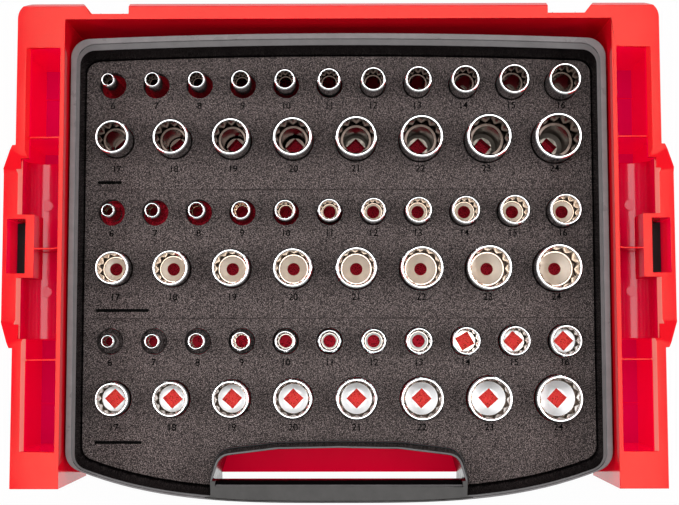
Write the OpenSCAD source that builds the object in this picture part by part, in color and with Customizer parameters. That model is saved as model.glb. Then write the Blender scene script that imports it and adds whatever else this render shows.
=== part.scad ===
// Socket set in a carrier: an open-topped, open-fronted stacking carrier with a sprung latch on
// each side, a pull-out tray in it, a two-colour foam insert in the tray, and three series of
// 12-point sockets for a 3/8 inch square drive, standing nut end up in pockets of the foam.
// Millimetres. +Z is up, -Y is the open front, and the origin is at the middle of the underside.

/* [Carrier] */
// Overall width, across the two latch bulges
case_w = 444; // [420:1:540]
// Depth of the carrier's body, front to back
case_d = 321; // [280:1:390]
// Height of the walls above the surface that the carrier stands on
case_h = 93; // [84:1:112]
// Thickness of the moulded walls
wall_t = 3; // [2.4:0.1:3.4]
// Width of each hollow side, from the bay to the outer face
side_w = 31.7; // [30:0.1:36]
// Depth of the hollow back, from the bay to the outer face
back_w = 11.7; // [10:0.1:16]
// Radius of the upright back corners
corner_r = 11; // [4:0.5:20]
// Thickness of the floor
floor_t = 4; // [3:0.5:6]
// Height of the moulded feet
foot_h = 3; // [2:0.5:5]
// Length of the closed block at the back of each side
back_block = 31; // [25:1:40]
// Length of the closed block at the front of each side
front_block = 24; // [16:1:32]
// Width of the lip along the top of each outer wall
lip_w = 8.6; // [6:0.1:9.5]
// Width and depth of the chamfer along the lip's inner edge
lip_chamfer = 2.5; // [1:0.1:3]
// Drop from the top to the floors of the side pockets
pocket_drop = 71; // [40:1:74]
// Thickness of the ribs across the side pockets
rib_t = 1.2; // [0.8:0.1:2]
// How far the troughs reach out under the bulge, beyond the side pockets
trough_out = 5.3; // [3:0.1:6]
// Drop from the top to the floors of the troughs
trough_drop = 29; // [24:0.5:34]
// Depth of each notch in the back
notch_d = 8; // [4:0.5:8]
// Distance between the upright inner walls of the two notches
notch_gap = 279; // [200:1:290]
// Width of a notch at its floor
notch_w = 24.5; // [12:0.5:26]

/* [Latches] */
// How far each latch bulge stands out of the side
bulge_out = 8.8; // [6:0.1:10]
// Length of a bulge where it leaves the side
bulge_l = 134; // [120:1:150]
// Length of the slanted part at each end of a bulge
bulge_ramp = 15; // [8:0.5:20]
// Drop from the carrier's top to the top of a bulge
bulge_drop = 5; // [2:0.5:8]
// Length of the slot that a latch stands in
slot_l = 36; // [30:1:44]
// Width of that slot
slot_w = 12; // [11:0.1:13]
// Thickness of a latch's blade
blade_t = 3; // [2:0.1:3.6]
// Width of the catch on top of a blade
catch_w = 7.4; // [6:0.1:8]
// Drop from the carrier's top to the top of a catch
catch_drop = 31; // [12:1:36]
// Depth of the latch's pivot below the top
pivot_drop = 58; // [50:1:64]
// Diameter of the steel pivot pins
pin_d = 3; // [2:0.1:4]

/* [Tray] */
// Gap between the tray and each side of the bay
tray_gap = 1.2; // [0.8:0.1:3]
// Gap between the tray's back and the back of the bay
tray_back_gap = 6.3; // [2:0.1:12]
// How far the handle stands out of the carrier's front
tray_out = 10.6; // [4:0.1:20]
// Drop from the carrier's top to the tray's rim
rim_drop = 13.7; // [8:0.1:20]
// Thickness of the tray's walls and floor
tray_t = 3; // [2.4:0.1:3.4]
// How far the front edge falls back at the corners
front_bow = 24.7; // [10:0.1:30]
// How far the back edge falls back at the corners
back_bow = 4; // [0:0.1:8]
// Radius of the tray's upright corners
tray_r = 13; // [6:0.5:18]
// Width of the finger opening behind the handle
grip_w = 163; // [120:1:190]
// Front to back size of the finger opening
grip_d = 21.5; // [18:0.5:26]
// Front to back size of the handle
bar_d = 14.3; // [10:0.1:18]
// Height of the handle
bar_h = 18; // [14:1:26]
// Width of the rounding along the handle's back edge
grip_round = 4.5; // [1:0.1:5]

/* [Foam] */
// Drop from the tray's rim to the top of the foam
foam_drop = 20; // [12:0.5:20]
// Thickness of the dark top layer
foam_top_t = 10; // [5:0.5:12]
// Thickness left under the deepest pocket
foam_under = 5.7; // [3:0.1:8]
// Clearance between the foam and the tray's walls
foam_gap = 0.5; // [0.3:0.1:1.5]
// Clearance around a socket in its pocket
pocket_gap = 0.5; // [0.3:0.05:1]
// Gap between a socket and the bottom of its pocket
seat_gap = 0.3; // [0.1:0.05:0.5]
// Space between the foam's side edges and the end sockets
end_gap = 9.6; // [6:0.1:12]
// Space from the foam's back edge to the first row's centres
back_gap = 20; // [14:0.5:24]
// Depth of the plain strip in front of the last row's labels, beyond the even spacing
front_gap = 30.6; // [24:0.1:40]
// Distance between a series' two rows, as a share of the distance between two series
row_share = 0.441; // [0.4:0.001:0.46]

/* [Sockets] */
// Side of the square drive, 3/8 inch with its clearance
drive_sq = 9.6; // [9.5:0.05:10.4]
// Depth of the square drive
drive_depth = 11.5; // [10:0.5:13]
// Least diameter of the drive end
drive_od = 17; // [16:0.1:19]
// Clearance across the flats of the nut
nut_gap = 0.2; // [0.1:0.05:0.4]
// Diameter of the hole between the nut and the drive in a shallow or semi-deep socket
web_bore = 8.4; // [6:0.1:9.2]
// Length of a deep socket
deep_l = 63; // [58:1:70]
// Length of a semi-deep socket
semi_l = 44; // [38:1:50]
// Length of a shallow socket
shallow_l = 26; // [24:1:30]
// How far a deep socket stands out of the foam
deep_up = 20; // [14:1:24]
// How far a semi-deep socket stands out of the foam
semi_up = 15; // [10:1:18]
// How far a shallow socket stands out of the foam
shallow_up = 10; // [6:1:12]

/* [Hidden] */
$fn = 48;
eps = 0.01;
BIG = 1000;
// front and back of everything: the handle in front and the carrier's back are equally far from 0
y_back = (case_d + tray_out) / 2;
y_front = y_back - case_d;
body_hw = case_w / 2 - bulge_out;
bay_hw = body_hw - side_w;
bay_back = y_back - back_w;
floor_top = foot_h + floor_t;
// side pockets
in_x = bay_hw + wall_t;
lip_x = body_hw - lip_w;
side_y = (y_front + y_back) / 2 - 3.9;
trough_hl = bulge_l / 2 - 7.4;
rib_y = bulge_l / 2 + 6.3;
p1_y = y_back - back_block;
p5_y = y_front + front_block;
trough_x = lip_x + trough_out;
trough_r = (trough_x - in_x) / 2;
trough_z = case_h - trough_drop + trough_r;
pocket_z = case_h - pocket_drop;
lip_under = case_h - lip_chamfer - wall_t;
bulge_z = case_h - bulge_drop;
// low ribs across the floors of the end pockets, from each pocket's closed end
floor_rib_h = 2;
back_floor_rib = 20.5;
front_floor_rib = 28;
// latch slot, from its inner wall to the bulge's outer wall
bulge_y = side_y + 1.4;
slot_y = bulge_y + 0.3;
slot_x1 = case_w / 2 - wall_t;
slot_x0 = slot_x1 - slot_w;
block_x = slot_x0 - 6;
pivot_z = case_h - pivot_drop;
slot_z = pivot_z - 6;
catch_z = case_h - catch_drop;
pivot_x = slot_x1 - 0.3 - 4.3;
boss_r = 3.6;
ramp_hl = bulge_l / 2 - 3.7;
bulge_in = trough_x + wall_t + 0.5;
pin_over = 3.2;
pin_fit = 0.05;
// tray
tray_w = 2 * (bay_hw - tray_gap);
tray_y0 = -y_back;
tray_y1 = bay_back - tray_back_gap;
tray_z = floor_top + 0.3;
rim_z = case_h - rim_drop;
rim_h = 9;
lip_t = 3.9;
cavity_z = tray_z + tray_t;
grip_y1 = tray_y0 + bar_d + grip_d;
well_top_t = 1.2;
// insets of the tray's outline, as [side, back, front]
out_low = [3.4, 7.9, 4.1];
out_rim = [0, 0, 0];
in_low = [3.4 + tray_t, 7.9 + tray_t, 4.1 + tray_t];
in_rim = [6.2, 8, 2.4];
foam_in = [for (v = in_low) v + foam_gap];
// foam
foam_z = rim_z - foam_drop;
joint_z = foam_z - foam_top_t;
foam_hw = tray_w / 2 - foam_in[0];
foam_y1 = tray_y1 - foam_in[1];
foam_y0 = tray_y0 + foam_in[2];
cut_d = 1;
// sockets: a series is [name, length, height above the foam]
SERIES = [["deep", deep_l, deep_up], ["semi", semi_l, semi_up], ["shallow", shallow_l, shallow_up]];
SMALL = [for (a = [6:16]) a];
LARGE = [for (a = [17:24]) a];
deepest = foam_z - cavity_z - foam_under;
series_pitch = (foam_y1 - foam_y0 - front_gap) / 3;
row_pitch = series_pitch * row_share;
// every nut size in its own node, but 6 and 7, and 8 and 9, stand together
PAIRS = concat([[6, 7], [8, 9]], [for (a = [10:24]) [a, a]]);

// ---- sizes and places of the sockets ----

function sum(v, i = 0) = i < len(v) ? v[i] + sum(v, i + 1) : 0;

// outside diameter at the nut end
function nut_od(a) = 2.4 + 1.22 * a;

// width that a socket takes up in its row
function space(a) = max(nut_od(a), drive_od);

function row_of(a) = a <= 16 ? SMALL : LARGE;

// the spaces between the sockets of a row are equal
function gap_in(row) =
    (2 * foam_hw - 2 * end_gap - sum([for (a = row) space(a)])) / (len(row) - 1);

function socket_x(a) =
    let (row = row_of(a), before = [for (b = row) if (b < a) space(b)])
    -foam_hw + end_gap + sum(before) + len(before) * gap_in(row) + space(a) / 2;

function socket_y(s, a) = foam_y1 - back_gap - s * series_pitch - (a <= 16 ? 0 : row_pitch);

function seat_depth(s) = min(SERIES[s][1] - SERIES[s][2], deepest);

function drive_r(a) = nut_od(a) <= drive_od ? drive_od / 2 : max(drive_od, 0.95 * nut_od(a)) / 2;

// each socket is turned a little differently in its pocket
function turn(s, a) = s == 2 && a == 14 ? 30 : 45 + (a * 7 + s * 5) % 9 - 4;

// ---- carrier ----

// one half of the bulge in plan, with its slanted ends
module bulge_plan(grow = 0) {
    hl = bulge_l / 2;
    translate([0, bulge_y])
        polygon([
            [body_hw - wall_t - eps, -hl], [body_hw + 2.2 + grow, -hl],
            [body_hw + 3.2 + grow, -hl + 2.2], [case_w / 2 + grow, -hl + bulge_ramp + 2],
            [case_w / 2 + grow, hl - bulge_ramp], [body_hw + 3.2 + grow, hl - 2.2],
            [body_hw + 2.2 + grow, hl], [body_hw - wall_t - eps, hl]
        ]);
}

module body_plan() {
    difference() {
        union() {
            translate([-body_hw, y_front]) square([2 * body_hw, case_d - corner_r]);
            translate([-body_hw + corner_r, y_back - corner_r - eps])
                square([2 * (body_hw - corner_r), corner_r + eps]);
            for (s = [-1, 1]) translate([s * (body_hw - corner_r), y_back - corner_r])
                circle(r = corner_r);
            for (s = [0, 1]) mirror([s, 0]) bulge_plan();
        }
        for (s = [0, 1]) mirror([s, 0]) notch_plan();
    }
}

// a notch in the back: upright on its inner side, slanted on its outer side
module notch_plan(grow = 0) {
    x = notch_gap / 2;
    translate([0, y_back])
        polygon([
            [x - grow, 1], [x - grow, -notch_d - grow], [x + notch_w + grow, -notch_d - grow],
            [x + notch_w + 7 + grow * 1.4, 1]
        ]);
}

// a side pocket: wider under the lip, and hollow again below its floor
module side_pocket(y0, y1) {
    wide = body_hw - wall_t - in_x;
    translate([in_x, y0, pocket_z]) cube([lip_x - in_x, y1 - y0, BIG]);
    translate([in_x, y0, pocket_z]) cube([wide, y1 - y0, lip_under - pocket_z]);
    translate([in_x, y0, pocket_z - wall_t - BIG]) cube([wide, y1 - y0, BIG]);
}

// cuts the chamfer along an upper edge that faces the bay
module side_chamfer(x, z, y0, y1) {
    translate([0, y1, 0]) rotate([90, 0, 0]) linear_extrude(y1 - y0) polygon([
        [x - 1, z - lip_chamfer - 1], [x + lip_chamfer + 1, z + 1], [x - 1, z + 1]
    ]);
}

// one half of the round-bottomed trough, with the chamfer along the bulge's top
module trough(y0, y1) {
    translate([in_x, y0, trough_z]) cube([trough_x - in_x, y1 - y0, BIG]);
    translate([in_x + trough_r, y0, trough_z]) rotate([-90, 0, 0])
        cylinder(r = trough_r, h = y1 - y0, $fn = 96);
    side_chamfer(trough_x, bulge_z, y0, y1);
}

module side_cuts() {
    ends = [p5_y, side_y - rib_y, side_y - trough_hl, side_y + trough_hl, side_y + rib_y, p1_y];
    side_pocket(ends[0], ends[1] - rib_t / 2);
    side_pocket(ends[1] + rib_t / 2, ends[2]);
    side_pocket(ends[3], ends[4] - rib_t / 2);
    side_pocket(ends[4] + rib_t / 2, ends[5]);
    // chamfer along the lip, beyond the trough on both sides
    for (y = [[ends[0], ends[2]], [ends[3], ends[5]]]) side_chamfer(lip_x, case_h, y[0], y[1]);
    // the bulge's top lies lower, with a ramp at each end
    translate([in_x + 2, bulge_y, 0]) rotate([90, 0, 90]) linear_extrude(BIG) polygon([
        [-ramp_hl, case_h], [bulge_ramp - ramp_hl, bulge_z], [ramp_hl - bulge_ramp, bulge_z],
        [ramp_hl, case_h], [ramp_hl, case_h + 1], [-ramp_hl, case_h + 1]
    ]);
    // the trough is kept clear of the latch block
    for (y = [[-trough_hl, -rib_t / 2], [rib_t / 2, trough_hl]]) difference() {
        trough(side_y + y[0], side_y + y[1]);
        translate([block_x, slot_y - slot_l / 2 - wall_t, 0])
            cube([BIG, slot_l + 2 * wall_t, BIG]);
    }
    // slot of the latch
    translate([slot_x0, slot_y - slot_l / 2, slot_z]) cube([slot_w, slot_l, BIG]);
    // bore of the pivot pin, drilled in from the front end of the slot
    translate([pivot_x, slot_y - slot_l / 2 - pin_over, pivot_z]) rotate([-90, 0, 0])
        cylinder(d = pin_d + 2 * pin_fit, h = slot_l + 2 * pin_over);
    // hollows moulded from below: end blocks, under the trough and in the bulge's ends
    translate([in_x, p1_y + wall_t, -BIG + case_h - wall_t])
        cube([body_hw - wall_t - in_x, back_block - back_w - wall_t, BIG]);
    translate([in_x, y_front + wall_t, -BIG + case_h - wall_t])
        cube([body_hw - wall_t - in_x, front_block - 2 * wall_t, BIG]);
    under = trough_z - trough_r - wall_t;
    translate([in_x, side_y - trough_hl + wall_t, under - BIG])
        cube([block_x - in_x, 2 * (trough_hl - wall_t), BIG]);
    for (y = [-1, 1]) translate([0, slot_y + y * (slot_l / 2 + 20) - 11, 0]) {
        translate([block_x - 1, 0, under - BIG]) cube([case_w / 2 - wall_t - block_x + 1, 22, BIG]);
        translate([bulge_in, 0, bulge_z - wall_t - BIG])
            cube([case_w / 2 - wall_t - bulge_in, 22, BIG]);
    }
}

module carrier() color([0.86, 0.10, 0.12]) {
    back_t = back_w - notch_d;
    difference() {
        union() {
            difference() {
                translate([0, 0, foot_h]) linear_extrude(case_h - foot_h) body_plan();
                // bay, open in front and above
                translate([-bay_hw, y_front - 1, floor_top])
                    cube([2 * bay_hw, bay_back - y_front + 1, BIG]);
                // the floor stops short of the sides' front ends
                translate([-bay_hw, y_front - 1, 0]) cube([2 * bay_hw, 4, BIG]);
                // hollow back, moulded from below, between and beside the notches
                difference() {
                    translate([-body_hw + corner_r, bay_back + back_t, -BIG + case_h - wall_t])
                        cube([2 * (body_hw - corner_r), back_w - back_t - wall_t, BIG]);
                    translate([0, 0, -1]) linear_extrude(case_h + 2)
                        for (s = [0, 1]) mirror([s, 0]) notch_plan(wall_t);
                }
                for (s = [0, 1]) mirror([s, 0, 0]) side_cuts();
            }
            // low ribs across the floors of the end pockets
            for (s = [0, 1], y = [p5_y + front_floor_rib, p1_y - back_floor_rib]) mirror([s, 0, 0])
                translate([in_x - eps, y - rib_t / 2, pocket_z - eps])
                    cube([body_hw - wall_t - in_x + 2 * eps, rib_t, floor_rib_h]);
            // feet
            for (x = [-1, 0, 1], y = [-1, 1])
                translate([x * (body_hw - 30), (y_front + y_back) / 2 + y * (case_d / 2 - 34), 0])
                    foot();
            // two small bumps on the floor of each notch
            for (s = [-1, 1], x = [4, 19])
                translate([s * (notch_gap / 2 + x), y_back - notch_d, foot_h])
                    cylinder(r = 1.1, h = case_h - foot_h - 4);
        }
        // chamfer along the back's upper edge
        translate([-BIG / 2, y_back - 3, case_h]) rotate([-60, 0, 0]) cube([BIG, 8, 8]);
    }
}

module foot() {
    translate([-20, -14, 0]) cube([40, 28, foot_h + eps]);
}

// ---- latches ----

// a blade on a round boss, with a catch on top that the case above hooks under
module latch() color([0.06, 0.06, 0.07]) {
    l = slot_l - 0.8;
    x1 = slot_x1 - 0.3;
    translate([0, slot_y - l / 2, 0]) difference() {
        union() {
            translate([x1 - blade_t, 0, pivot_z]) cube([blade_t, l, catch_z - pivot_z]);
            translate([x1 - catch_w, 0, catch_z - 3]) cube([catch_w, l, 3]);
            translate([pivot_x, 0, pivot_z]) rotate([-90, 0, 0]) cylinder(r = boss_r, h = l);
            // ribs that stiffen the blade
            for (y = [0, l - 2]) translate([pivot_x, y, pivot_z])
                cube([x1 - pivot_x - 1, 2, catch_z - 2 - pivot_z]);
        }
        translate([pivot_x, -1, pivot_z]) rotate([-90, 0, 0])
            cylinder(d = pin_d + 4 * pin_fit, h = l + 2);
    }
}

module latch_right() latch();
module latch_left() mirror([1, 0, 0]) latch();

module latch_pins() color([0.75, 0.75, 0.77])
    for (s = [-1, 1]) translate([s * pivot_x, slot_y - slot_l / 2 - pin_over + 0.2, pivot_z])
        rotate([-90, 0, 0]) cylinder(d = pin_d, h = slot_l + 2 * pin_over - 0.4);

// ---- tray ----

// the tray's outline in plan, inset by [side, back, front]: bowed front and back, straight sides
module tray_plan(in = [0, 0, 0], r = tray_r) {
    hw = tray_w / 2 - in[0];
    n = 20;
    offset(r = r, $fn = 64) offset(delta = -r) polygon(concat(
        [for (i = [-n:n]) let (x = hw * i / n)
            [x, tray_y0 + in[2] + front_bow * pow(abs(x) / (tray_w / 2), 3.2)]],
        [for (i = [n / 2:-1:-n / 2]) let (x = 2 * hw * i / n)
            [x, tray_y1 - in[1] - back_bow * pow(x / (tray_w / 2), 2)]]
    ));
}

// the part of the plan that the handle and its finger opening take up
module grip_plan(grow) {
    x = grip_w / 2 + grow;
    y1 = grip_y1 + grow;
    offset(r = 9 + grow, $fn = 48) offset(delta = -9 - grow) polygon([
        [-x, tray_y0 - 40], [x, tray_y0 - 40], [x + 2, tray_y0 + bar_d], [x - 3, y1 - 5.5],
        [x * 0.5, y1 - 0.8], [0, y1], [-x * 0.5, y1 - 0.8], [-x + 3, y1 - 5.5],
        [-x - 2, tray_y0 + bar_d]
    ]);
}

module tray() color([0.27, 0.27, 0.29]) {
    difference() {
        union() {
            translate([0, 0, tray_z]) linear_extrude(foam_z - tray_z) tray_plan(out_low);
            hull() {
                translate([0, 0, foam_z - eps]) linear_extrude(eps) tray_plan(out_low);
                translate([0, 0, rim_z - rim_h]) linear_extrude(eps) tray_plan([3, 3, 0.5]);
            }
            translate([0, 0, rim_z - rim_h]) linear_extrude(rim_h - 0.8) tray_plan(out_rim);
            translate([0, 0, rim_z - 0.8 - eps]) linear_extrude(0.8 + eps) difference() {
                tray_plan(out_rim);
                tray_plan([lip_t, lip_t, 1.2]);
            }
        }
        // inside, but for the block that holds the handle
        translate([0, 0, cavity_z]) linear_extrude(foam_z - cavity_z + eps) difference() {
            tray_plan(in_low, tray_r - 3);
            grip_plan(tray_t);
        }
        difference() {
            hull() {
                translate([0, 0, foam_z]) linear_extrude(eps) tray_plan(in_low, tray_r - 3);
                translate([0, 0, rim_z + 1]) linear_extrude(eps) tray_plan(in_rim, tray_r - 3);
            }
            // the wall around the finger opening is thinner at its top
            hull() {
                translate([0, 0, foam_z - 1]) linear_extrude(eps) grip_plan(tray_t);
                translate([0, 0, rim_z + 1]) linear_extrude(eps) grip_plan(well_top_t);
            }
        }
        // finger opening, right through, and the space under the handle
        difference() {
            translate([0, 0, -1]) linear_extrude(BIG) grip_plan(0);
            translate([-BIG / 2, tray_y0 - 10, rim_z - bar_h]) cube([BIG, bar_d + 10, bar_h]);
            translate([-BIG / 2, tray_y0 - 60, rim_z - eps]) cube([BIG, bar_d + 60, BIG]);
        }
        // the handle is a channel, open below, and its back edge is rounded
        translate([-grip_w / 2 + 3, tray_y0 + 3, -1])
            cube([grip_w - 6, bar_d - 6 - grip_round, rim_z - 3 + 1]);
        translate([-grip_w / 2, tray_y0 + bar_d, rim_z]) rotate([90, 0, 90])
            linear_extrude(grip_w) polygon([
                [1, 1], [-grip_round - 0.5, 1], [-grip_round - 0.5, 0], [-grip_round / 2, -1.8],
                [-grip_round / 7, -2 - grip_round * 0.8], [0, -2 * grip_round - 1],
                [1, -2 * grip_round - 1]
            ]);
    }
}

// ---- foam ----

module foam_plan() {
    difference() {
        tray_plan(foam_in, tray_r - 3 - foam_gap);
        grip_plan(tray_t + foam_gap);
    }
}

function pocket_r(a) = max(nut_od(a) / 2, drive_r(a)) + pocket_gap;

module pockets(z = undef) {
    for (s = [0:2], a = [6:24])
        translate([socket_x(a), socket_y(s, a), is_undef(z) ? foam_z - seat_depth(s) - seat_gap : z])
            cylinder(r = pocket_r(a), h = BIG);
}

module foam_top() color([0.17, 0.17, 0.18])
    difference() {
        translate([0, 0, joint_z]) linear_extrude(foam_top_t) foam_plan();
        pockets(joint_z - 1);
        // thin cuts between the series
        for (s = [1, 2])
            translate([-foam_hw + 8, foam_y1 - back_gap - s * series_pitch + 15.2, foam_z - cut_d])
                cube([2 * foam_hw - 16, 0.6, BIG]);
    }

module foam_base() color([0.80, 0.10, 0.14])
    difference() {
        translate([0, 0, cavity_z]) linear_extrude(joint_z - cavity_z) foam_plan();
        pockets();
    }

// ---- sockets ----

// a 12-point hole is two hexagons, a twelfth of a turn apart
module twelve_point(a) {
    for (t = [0, 30]) rotate(t) circle(d = (a + nut_gap) / cos(30), $fn = 6);
}

// s is the series and a the size across the nut's flats
module socket(s, a) {
    l = SERIES[s][1];
    rn = nut_od(a) / 2;
    rd = drive_r(a);
    ld = drive_depth + (s == 0 ? 8 : s == 1 ? 4 : 1.5);
    shoulder = abs(rn - rd) * 1.3 + 0.5;
    c = 0.6;
    open = s == 2 && a >= 14;
    bore = min(a, s == 0 ? max(4.4, 0.84 * a) : min(web_bore, 0.93 * a + 0.9));
    // cone at the foot of the hole: its least and greatest diameters, and its slope
    throat = 1.46 * drive_sq;
    cone = open ? [throat, (a + nut_gap) / cos(15), 0.3]
        : s == 0 ? [throat, max(bore, throat), 0.6] : [bore, max(bore, 0.92 * a), 0.35];
    cone_h = (cone[1] - cone[0]) / 2 * cone[2];
    // the nut's seat stops above the drive, with a web between them
    seat = open ? drive_depth + cone_h
        : l - min(l - drive_depth - 3, (s == 2 ? 8 : 11) + 0.35 * a);
    mouth = (a + nut_gap) / cos(30) - 0.6;
    translate([socket_x(a), socket_y(s, a), foam_z - seat_depth(s)])
        rotate([0, 0, turn(s, a)]) difference() {
            rotate_extrude($fn = 64) polygon([
                [0, 0], [rd - c, 0], [rd, c], [rd, ld], [rn, ld + shoulder],
                [rn, l - c], [rn - c, l], [0, l]
            ]);
            translate([0, 0, seat]) linear_extrude(l) twelve_point(a);
            translate([0, 0, drive_depth + (s == 0 ? cone_h : 0) - eps]) cylinder(d = bore, h = l);
            if (cone_h > 0)
                translate([0, 0, (open || s == 0 ? drive_depth : seat - cone_h) - eps])
                    cylinder(d1 = cone[0], d2 = cone[1], h = cone_h + 2 * eps);
            translate([-drive_sq / 2, -drive_sq / 2, -1]) cube([drive_sq, drive_sq, drive_depth + 1]);
            // lead-in of the nut end
            translate([0, 0, l - 1]) cylinder(d1 = mouth - 2.2, d2 = mouth + 0.2, h = 1.1);
        }
}

function two(a) = str(a < 10 ? "0" : "", a);
function node_of(s, g) =
    str("socket_", SERIES[s][0], "_", two(g[0]), g[1] > g[0] ? str("_", two(g[1])) : "");

// one socket, or the two that stand together
module socket_node(s, g) color([0.80, 0.80, 0.82]) for (a = [g[0]:g[1]]) socket(s, a);

carrier();
latch_left();
latch_right();
latch_pins();
tray();
foam_top();
foam_base();
for (s = [0:2], g = PAIRS) socket_node(s, g);
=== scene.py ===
import math

import bmesh
import bpy
from bpy.props import FloatProperty, FloatVectorProperty, PointerProperty
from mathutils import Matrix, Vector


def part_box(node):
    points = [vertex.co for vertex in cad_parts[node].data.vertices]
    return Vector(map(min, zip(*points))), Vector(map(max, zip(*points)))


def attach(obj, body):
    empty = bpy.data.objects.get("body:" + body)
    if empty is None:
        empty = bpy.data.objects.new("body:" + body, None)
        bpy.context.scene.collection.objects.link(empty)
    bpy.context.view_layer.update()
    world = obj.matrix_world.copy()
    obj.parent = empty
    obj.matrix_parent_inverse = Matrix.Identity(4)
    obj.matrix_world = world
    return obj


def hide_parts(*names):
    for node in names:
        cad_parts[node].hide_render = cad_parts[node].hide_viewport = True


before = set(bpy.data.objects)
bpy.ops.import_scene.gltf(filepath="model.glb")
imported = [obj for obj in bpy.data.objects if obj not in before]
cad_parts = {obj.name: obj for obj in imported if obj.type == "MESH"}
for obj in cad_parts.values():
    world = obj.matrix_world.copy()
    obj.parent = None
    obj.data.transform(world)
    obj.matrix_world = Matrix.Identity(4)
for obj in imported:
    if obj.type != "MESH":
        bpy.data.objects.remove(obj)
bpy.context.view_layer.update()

bl_info = {
    "name": "Socket Set in a Carrier",
    "version": (1, 0, 0),
    "blender": (4, 5, 0),
    "location": "View3D > Sidebar > Socket Set",
    "description": "Finishes a stacking carrier with a pull-out tray and its foam-held sockets",
    "category": "Object",
}

MM = 0.001

# Corners of the CAD nodes that the finishes are placed by. All sizes are in metres.
TRAY_LOW, TRAY_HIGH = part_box("tray")
FOAM_LOW, FOAM_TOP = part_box("foam_top")
CASE_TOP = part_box("carrier")[1]

# The carrier in plan, measured from its middle: bay, pockets, outer wall and lip chamfers
BAY_HALF = 0.182
POCKET_INNER = 0.1835
OUTER_WALL = 0.203
CHAMFER_INNER, CHAMFER_OUTER = 0.204, 0.2135
CHAMFER_BACK = 0.056
BACK_WALL, FRONT_ENDS = 0.158, -0.151
# Troughs with their ejector pads, and the slots that the latches lie in
SIDE_MIDDLE = 0.0014
TROUGH_HALF = 0.0598
TROUGH_FLOOR = CASE_TOP.z - 0.02895
PAD_OUT = 0.1978
PAD_ROWS = (("back", 0.0324), ("front", -0.0261))
SLOT_HALF = 0.0185
SLOT_INNER, SLOT_OUTER = 0.2065, 0.2195
BULGE_TOP = CASE_TOP.z - 0.0055

# The tray's handle, and how far its front and back walls bow
GRIP_HALF, GRIP_DEPTH = 0.0845, 0.0143
FRONT_BOW, BACK_BOW = 0.0247, 0.004

# A size number's digits are this share of the font's size
DIGIT_SHARE = 0.69
# The bars that mark the series: name, place along Y and length, all from one left end
BAR_LEFT = -0.165
SERIES_BARS = (("deep", 0.0490, 0.0166), ("semi", -0.0386, 0.036), ("shallow", -0.1276, 0.032))

# A series is (name, length of its sockets in millimetres, what it adds to their turn)
SERIES = (("deep", 63.0, 0), ("semi", 44.0, 5), ("shallow", 26.0, 10))
DEEP, SHALLOW = 0, 2
SMALL_SIZES = tuple(range(6, 17))
LARGE_SIZES = tuple(range(17, 25))
# From this size on, a shallow socket shows its whole square drive from above
LEAST_OPEN = 14
# From this size on, light reaches the foot of a deep socket's hole
LEAST_LIT_DEEP = 21
# Least radius of a drive end, height of each series' neck in millimetres, chamfer at the ends
LEAST_DRIVE = 8.5 * MM
NECKS = (19.5, 15.5, 13.0)
RIM_EDGE = 0.75 * MM
RING_SIDES = 48

# Lights in metres and degrees, and the camera, which looks nearly straight down
SOFTBOX_PLACE = (0, 0.1, 2.2)
STRIP_OUT, STRIP_HEIGHT, STRIP_TILT = 1.5, 1.2, 52
STRIP_SIZE = (0.45, 1.8)
CAMERA_PLACE = (0.00492, -0.0670, 0.92398)
CAMERA_TURN = (4.474, 0.294, -0.085)
CAMERA_LENS = 67.44

WHITE = (1, 1, 1, 1)


# ---------------------------------------------------------------- settings


class CaseLook(bpy.types.PropertyGroup):
    edge_round: FloatProperty(
        name="Edge rounding", description="Width of the rounding on moulded edges",
        default=0.00035, min=0.0001, max=0.0006, unit="LENGTH")
    red: FloatVectorProperty(
        name="Red", description="Colour of the carrier's plastic", subtype="COLOR",
        size=4, default=(0.93, 0.004, 0.016, 1), min=0, max=1)
    # Painted highlight: a paler copy of the red for the lip chamfers, standing in for the light
    # they mirror
    red_bright: FloatVectorProperty(
        name="Bright red", description="Colour of the polished edges of the carrier",
        subtype="COLOR", size=4, default=(1.0, 0.24, 0.20, 1), min=0, max=1)
    black: FloatVectorProperty(
        name="Black", description="Colour of the latches", subtype="COLOR", size=4,
        default=(0.004, 0.004, 0.0045, 1), min=0, max=1)
    grey: FloatVectorProperty(
        name="Tray grey", description="Colour of the tray's rim and outside",
        subtype="COLOR", size=4, default=(0.115, 0.108, 0.110, 1), min=0, max=1)
    # Painted shade: a near-black copy of the tray's grey for its inner walls, where depth shades
    # them
    grey_inside: FloatVectorProperty(
        name="Tray inside", description="Colour of the tray's inner walls",
        subtype="COLOR", size=4, default=(0.004, 0.003, 0.0035, 1), min=0, max=1)
    # The inner walls, bay floor and pocket floors take lit copies of the one red, each with the
    # painted glow below
    red_inside: FloatVectorProperty(
        name="Red inside", description="Colour of the carrier's inner walls",
        subtype="COLOR", size=4, default=(0.96, 0.0005, 0.065, 1), min=0, max=1)
    red_bay: FloatVectorProperty(
        name="Bay floor", description="Colour of the floor under the tray",
        subtype="COLOR", size=4, default=(0.90, 0.0005, 0.032, 1), min=0, max=1)
    red_pocket: FloatVectorProperty(
        name="Pocket floors", description="Colour of the floors of the side pockets",
        subtype="COLOR", size=4, default=(0.68, 0.0005, 0.115, 1), min=0, max=1)
    sheen: FloatVectorProperty(
        name="Sheen", description="Tint of what the carrier's outer faces mirror",
        subtype="COLOR", size=4, default=(1.0, 0.95, 0.62, 1), min=0, max=1)
    # Painted light: emission on the inner faces, standing in for light bounced between and passed
    # through the red walls
    glow: FloatProperty(
        name="Glow", description="Light that comes through the carrier's walls",
        default=0.14, min=0.0, max=1.0, subtype="FACTOR")
    grip: FloatVectorProperty(
        name="Handle", description="Colour of the grained top of the handle",
        subtype="COLOR", size=4, default=(0.075, 0.072, 0.070, 1), min=0, max=1)


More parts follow.
